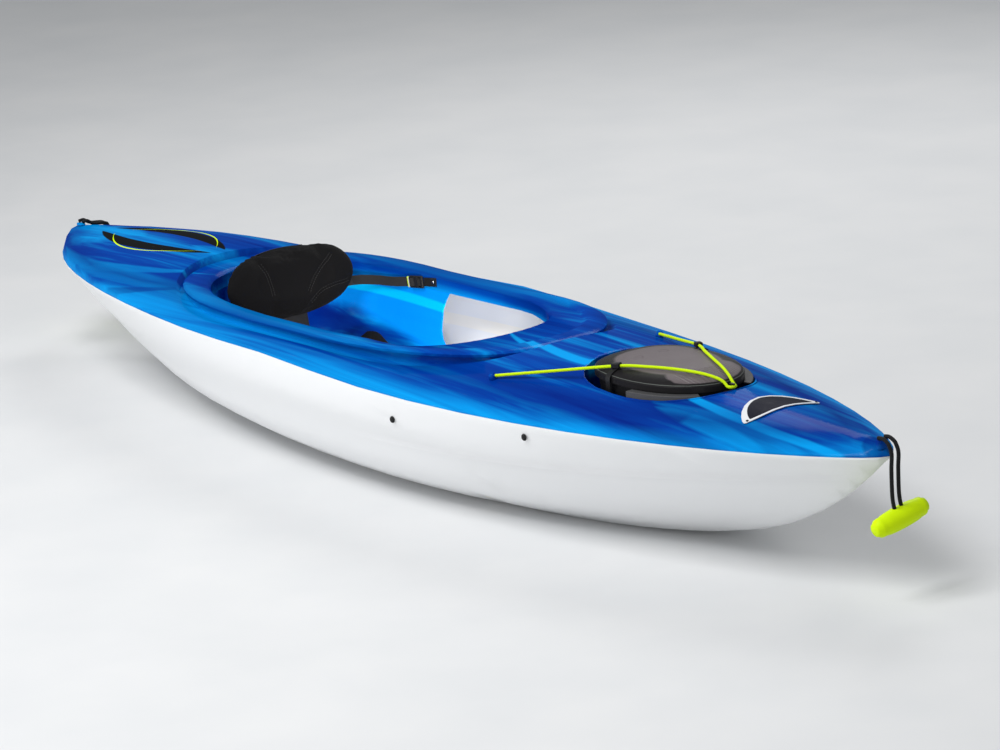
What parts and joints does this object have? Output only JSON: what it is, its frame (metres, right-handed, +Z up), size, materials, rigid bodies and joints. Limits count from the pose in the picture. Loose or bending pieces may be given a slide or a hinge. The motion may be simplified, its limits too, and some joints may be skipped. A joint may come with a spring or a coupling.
{
  "type": "recreational kayak",
  "caption": "Sit-in recreational kayak with a padded seat, adjustable foot braces, a lift-out storage pod under a bungee cord and carry handles at both ends.",
  "frame": {"origin": "under the middle of the hull's length, on the floor that the keel rests on", "axes": "+X towards the bow, +Y to port, +Z up"},
  "size_m": [3.129, 0.71, 0.3645],
  "materials": {
    "hull_plastic": "white moulded polyethylene, semi-gloss",
    "deck_plastic": "blue moulded polyethylene in streaked blues, glossy",
    "moulded_black": "black moulded plastic, fine texture",
    "lid_grey": "grey-brown moulded plastic, satin",
    "seat_fabric": "black woven cover over foam",
    "webbing": "dark flat webbing",
    "seal_rubber": "black rubber",
    "neon_plastic": "yellow-green moulded plastic",
    "cord_neon": "yellow-green braided elastic cord",
    "cord_black": "black braided cord",
    "steel": "bare steel",
    "foam": "white closed-cell foam",
    "badge": "dark plate with a pale border"
  },
  "bodies": {
    "kayak": {"backrest_bracket": "moulded_black", "badge_plate": "badge", "badge_rivet_port": "steel", "badge_rivet_starboard": "steel", "bow_handle_eye": "moulded_black", "bungee_cord": "cord_neon", "bungee_eye_port": "deck_plastic", "bungee_eye_starboard": "deck_plastic", "deck": "deck_plastic", "drain_seal": "seal_rubber", "foam_block_bow": "foam", "foam_block_stern": "foam", "foam_seat_pillar": "foam", "footrest_rail_port": "moulded_black", "footrest_rail_starboard": "moulded_black", "hull": "hull_plastic", "rail_screw_port_aft": "moulded_black", "rail_screw_port_fore": "moulded_black", "rail_screw_starboard_aft": "moulded_black", "rail_screw_starboard_fore": "moulded_black", "seat_liner": "deck_plastic", "seat_pad": "seat_fabric", "stern_handle_eye": "moulded_black", "strap_anchor_port": "webbing", "strap_anchor_starboard": "webbing", "strap_buckle_port": "moulded_black", "strap_buckle_starboard": "moulded_black", "strap_rivet_port": "steel", "strap_rivet_starboard": "steel"},
    "pod": {"pod_tub": "moulded_black", "pod_gasket": "seal_rubber", "pod_grip_port": "lid_grey", "pod_grip_starboard": "lid_grey"},
    "lid": {"pod_lid": "lid_grey", "pod_clip_port": "moulded_black", "pod_clip_starboard": "moulded_black"},
    "backrest": {"backrest_shell": "moulded_black", "backrest_pad": "seat_fabric", "backrest_strap_port": "webbing", "backrest_strap_starboard": "webbing"},
    "bow_handle": {"bow_handle_cord": "cord_black", "bow_toggle": "neon_plastic"},
    "stern_handle": {"stern_handle_cord": "cord_black", "stern_toggle": "neon_plastic"},
    "footrest_port": {"footrest_pedal_port": "moulded_black"},
    "footrest_starboard": {"footrest_pedal_starboard": "moulded_black"},
    "lever_port": {"footrest_lever_port": "lid_grey"},
    "lever_starboard": {"footrest_lever_starboard": "lid_grey"},
    "drain_plug": {"drain_plug": "moulded_black"}
  },
  "joints": [
    {"name": "pod_lift", "type": "slide", "parent": "kayak", "child": "pod", "axis": [0, 0, 1], "range_m": [0, 0.15], "deforming": ["bungee_cord"]},
    {"name": "lid_lift", "type": "slide", "parent": "pod", "child": "lid", "axis": [0, 0, 1], "range_m": [0, 0.06], "deforming": ["bungee_cord"]},
    {"name": "backrest_recline", "type": "hinge", "parent": "kayak", "child": "backrest", "pos_m": [-0.564, 0, 0.105], "axis": [0, 1, 0], "range_deg": [-5, 40], "deforming": ["backrest_strap_port", "backrest_strap_starboard"]},
    {"name": "bow_handle_swing", "type": "hinge", "parent": "kayak", "child": "bow_handle", "pos_m": [1.505, 0, 0.31009], "axis": [0, -1, 0], "range_deg": [0, 165]},
    {"name": "stern_handle_swing", "type": "hinge", "parent": "kayak", "child": "stern_handle", "pos_m": [-1.4935, 0, 0.27992], "axis": [1, 0, 0], "range_deg": [0, 120]},
    {"name": "footrest_slide_port", "type": "slide", "parent": "kayak", "child": "footrest_port", "axis": [0.9902, -0.1214, 0.0691], "range_m": [-0.13, 0.13]},
    {"name": "footrest_slide_starboard", "type": "slide", "parent": "kayak", "child": "footrest_starboard", "axis": [0.99, 0.1226, 0.0691], "range_m": [-0.13, 0.13]},
    {"name": "lever_squeeze_port", "type": "hinge", "parent": "footrest_port", "child": "lever_port", "pos_m": [0.52609, 0.27008, 0.21299], "axis": [0.0697, 0, -0.9976], "range_deg": [0, 20], "stiffness_Nm_per_rad": 0.3},
    {"name": "lever_squeeze_starboard", "type": "hinge", "parent": "footrest_starboard", "child": "lever_starboard", "pos_m": [0.52604, -0.26978, 0.21299], "axis": [-0.0697, 0, 0.9976], "range_deg": [0, 20], "stiffness_Nm_per_rad": 0.3},
    {"name": "drain_plug_pull", "type": "slide", "parent": "kayak", "child": "drain_plug", "axis": [-0.3444, 0.6971, -0.6289], "range_m": [0, 0.03]}
  ]
}
